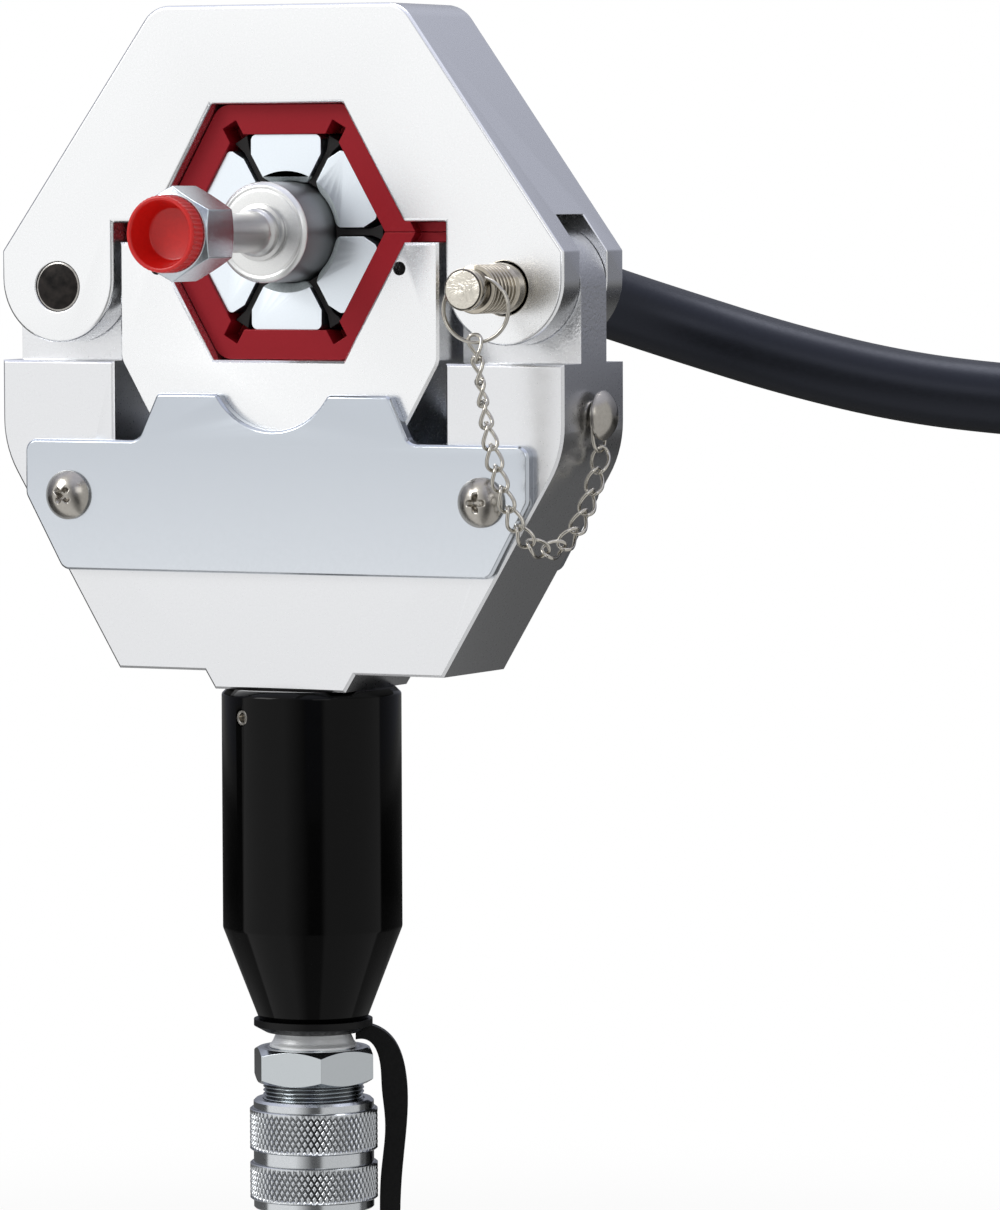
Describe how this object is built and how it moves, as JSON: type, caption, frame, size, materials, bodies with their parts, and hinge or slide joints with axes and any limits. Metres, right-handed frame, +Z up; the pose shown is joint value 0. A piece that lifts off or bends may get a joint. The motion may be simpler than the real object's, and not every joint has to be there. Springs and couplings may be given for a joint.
{
  "type": "hose crimping machine",
  "caption": "Hydraulic hose crimping head: hinged yoke, pull pin on a chain, ram-lifted die block, hexagonal die set, cylinder barrel and screw coupler, with a hose end in the dies.",
  "frame": {"origin": "mouth of the pump port, on the barrel's axis and in the middle of the head's thickness", "axes": "+X to the right as one faces the pull pin's grip, +Y away from the viewer, +Z up along the ram"},
  "size_m": [0.2231, 0.2335, 0.3305],
  "materials": {
    "head_steel": "satin machined faces",
    "plate_steel": "satin blue grey",
    "stainless_screws": "polished",
    "black_pin": "black oxide",
    "black_barrel": "gloss",
    "ram_steel": "hard chrome",
    "seal_rubber": "matte",
    "bush_bronze": "turned",
    "spring_steel": "satin",
    "plated_steel": "zinc plated",
    "black_rubber": "matte",
    "nickel_wire": "nickel plated",
    "nickel_pin": "nickel plated, turned",
    "red_anodised": "anodised",
    "segment_steel": "bright ground",
    "ferrule_aluminium": "matte turned",
    "zinc_nut": "zinc plated",
    "red_plastic": "moulded",
    "hose_rubber": "satin extruded"
  },
  "bodies": {
    "frame": {"lower_frame": "head_steel", "hinge_pin": "black_pin", "front_plate": "plate_steel", "rear_plate": "plate_steel", "front_plate_screws": "stainless_screws", "rear_plate_screws": "stainless_screws", "ram_barrel": "black_barrel", "barrel_set_screw": "stainless_screws", "rod_seal": "seal_rubber", "rod_bush": "bush_bronze", "return_spring": "spring_steel", "coupler_nipple": "plated_steel", "coupler_socket": "plated_steel", "nipple_poppet": "plated_steel", "socket_poppet": "plated_steel", "dust_cap_strap": "black_rubber", "dust_cap": "black_rubber", "chain_screw": "stainless_screws", "chain_end_ring": "nickel_wire", "tether_chain": "nickel_wire"},
    "yoke": {"upper_yoke": "head_steel", "upper_die_carrier": "red_anodised", "upper_segment_left": "segment_steel", "upper_segment_top": "segment_steel", "upper_segment_right": "segment_steel", "upper_spreaders": "black_rubber"},
    "ram": {"die_block": "head_steel", "die_block_screws": "black_pin", "lower_die_carrier": "red_anodised", "lower_segment_left": "segment_steel", "lower_segment_bottom": "segment_steel", "lower_segment_right": "segment_steel", "lower_spreaders": "black_rubber", "ram_piston": "ram_steel", "piston_seal": "seal_rubber"},
    "locking_pin": {"locking_pin": "nickel_pin", "pin_ring": "nickel_wire"},
    "collar": {"coupler_collar": "plated_steel"},
    "workpiece": {"hose_ferrule": "ferrule_aluminium", "hose_stem": "ferrule_aluminium", "hose_end": "hose_rubber", "workpiece_hose": "hose_rubber"},
    "swivel_nut": {"swivel_nut": "zinc_nut"},
    "nut_plug": {"nut_plug": "red_plastic"}
  },
  "joints": [
    {"name": "yoke_hinge", "type": "hinge", "parent": "frame", "child": "yoke", "pos_m": [-0.06, 0, 0.2449], "axis": [0, -1, 0], "range_deg": [0, 0.15]},
    {"name": "ram_stroke", "type": "slide", "parent": "frame", "child": "ram", "axis": [0, 0, 1], "range_m": [-0.012, 0], "deforming": ["return_spring"]},
    {"name": "pin_pull", "type": "slide", "parent": "frame", "child": "locking_pin", "axis": [0, -1, 0], "range_m": [0, 0.045], "deforming": ["tether_chain"]},
    {"name": "collar_spin", "type": "hinge", "parent": "frame", "child": "collar", "pos_m": [0, 0, 0.037], "axis": [0, 0, 1], "continuous": true},
    {"name": "work_slide", "type": "slide", "parent": "frame", "child": "workpiece", "axis": [0, -1, 0], "range_m": [0, 0.012]},
    {"name": "nut_spin", "type": "hinge", "parent": "workpiece", "child": "swivel_nut", "pos_m": [0, -0.065, 0.258], "axis": [0, 1, 0], "continuous": true},
    {"name": "plug_pull", "type": "slide", "parent": "swivel_nut", "child": "nut_plug", "axis": [0, -1, 0], "range_m": [0, 0.01]}
  ]
}
